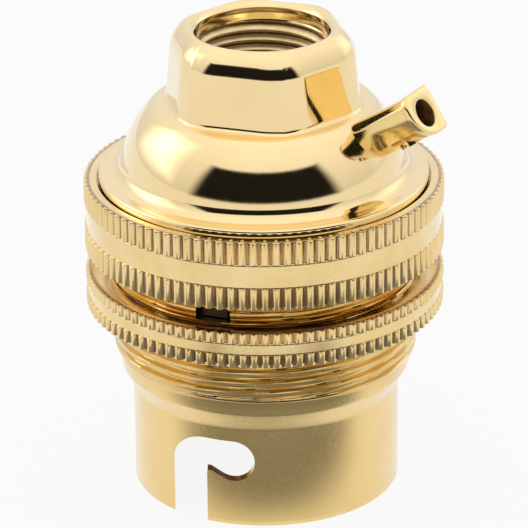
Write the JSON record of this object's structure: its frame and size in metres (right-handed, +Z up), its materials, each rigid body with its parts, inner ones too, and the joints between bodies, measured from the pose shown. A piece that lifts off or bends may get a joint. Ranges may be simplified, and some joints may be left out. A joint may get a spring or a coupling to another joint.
{
  "type": "lamp holder",
  "caption": "Bayonet lamp holder with a slotted barrel, knurled clamping rings, a domed cap with a threaded cable entry, and an earth pillar on the dome.",
  "frame": {"origin": "centre of the barrel's mouth in the plane of its rim", "axes": "+Z up along the barrel and the cable entry; front is -Y, the side with the slot and notch that the picture shows; +X to the right"},
  "size_m": [0.0332, 0.0332, 0.0446],
  "materials": {
    "shell_brass": "satin turned",
    "ring_brass": "satin knurled",
    "cap_brass": "polished",
    "pillar_brass": "bright machined",
    "terminal_brass": "machined",
    "contact_brass": "polished",
    "insulator": "matt",
    "fixing_steel": "zinc plated",
    "spring_steel": "drawn wire"
  },
  "bodies": {
    "shell": {"barrel_shell": "shell_brass", "interior_base": "insulator", "interior_cover": "insulator", "joining_screw": "fixing_steel", "lock_washer": "fixing_steel", "joining_nut": "fixing_steel", "terminal_block_right": "terminal_brass", "terminal_block_left": "terminal_brass", "plunger_spring_right": "spring_steel", "plunger_spring_left": "spring_steel"},
    "cap": {"cap_dome": "cap_brass", "earth_pillar": "pillar_brass", "earth_washer": "terminal_brass"},
    "cap_ring": {"union_ring": "ring_brass"},
    "shade_ring": {"shade_ring": "ring_brass"},
    "earth_screw": {"earth_clamp_screw": "pillar_brass"},
    "terminal_screw_right": {"terminal_screw_right": "terminal_brass"},
    "terminal_screw_left": {"terminal_screw_left": "terminal_brass"},
    "contact_right": {"plunger_right": "contact_brass"},
    "contact_left": {"plunger_left": "contact_brass"}
  },
  "joints": [
    {"name": "cap_lift", "type": "slide", "parent": "shell", "child": "cap", "axis": [0, 0, 1], "range_m": [0, 0.00391]},
    {"name": "cap_ring_turn", "type": "hinge", "parent": "cap", "child": "cap_ring", "pos_m": [0, 0, 0.0267], "axis": [0, 0, 1], "range_deg": [0, 1440]},
    {"name": "shade_ring_travel", "type": "slide", "parent": "shell", "child": "shade_ring", "axis": [0, 0, 1], "range_m": [-0.0038, 0.0019]},
    {"name": "earth_screw_turn", "type": "hinge", "parent": "cap", "child": "earth_screw", "pos_m": [0.01331, -0.00768, 0.03578], "axis": [0.4717, -0.2723, -0.8387], "range_deg": [-540, 0]},
    {"name": "terminal_screw_right_turn", "type": "hinge", "parent": "shell", "child": "terminal_screw_right", "pos_m": [0.00891, -0.0023, 0.0296], "axis": [0.9681, -0.2504, 0], "range_deg": [-540, 0]},
    {"name": "terminal_screw_left_turn", "type": "hinge", "parent": "shell", "child": "terminal_screw_left", "pos_m": [-0.00891, 0.0023, 0.0296], "axis": [-0.9681, 0.2504, 0], "range_deg": [-540, 0]},
    {"name": "contact_right_push", "type": "slide", "parent": "shell", "child": "contact_right", "axis": [0, 0, 1], "range_m": [0, 0.003], "stiffness_N_per_m": 1500, "deforming": ["plunger_spring_right"]},
    {"name": "contact_left_push", "type": "slide", "parent": "shell", "child": "contact_left", "axis": [0, 0, 1], "range_m": [0, 0.003], "stiffness_N_per_m": 1500, "deforming": ["plunger_spring_left"]}
  ],
  "couplings": [
    {"joint": "cap_lift", "follows": "cap_ring_turn", "m_per_rad": 0.0001555}
  ]
}
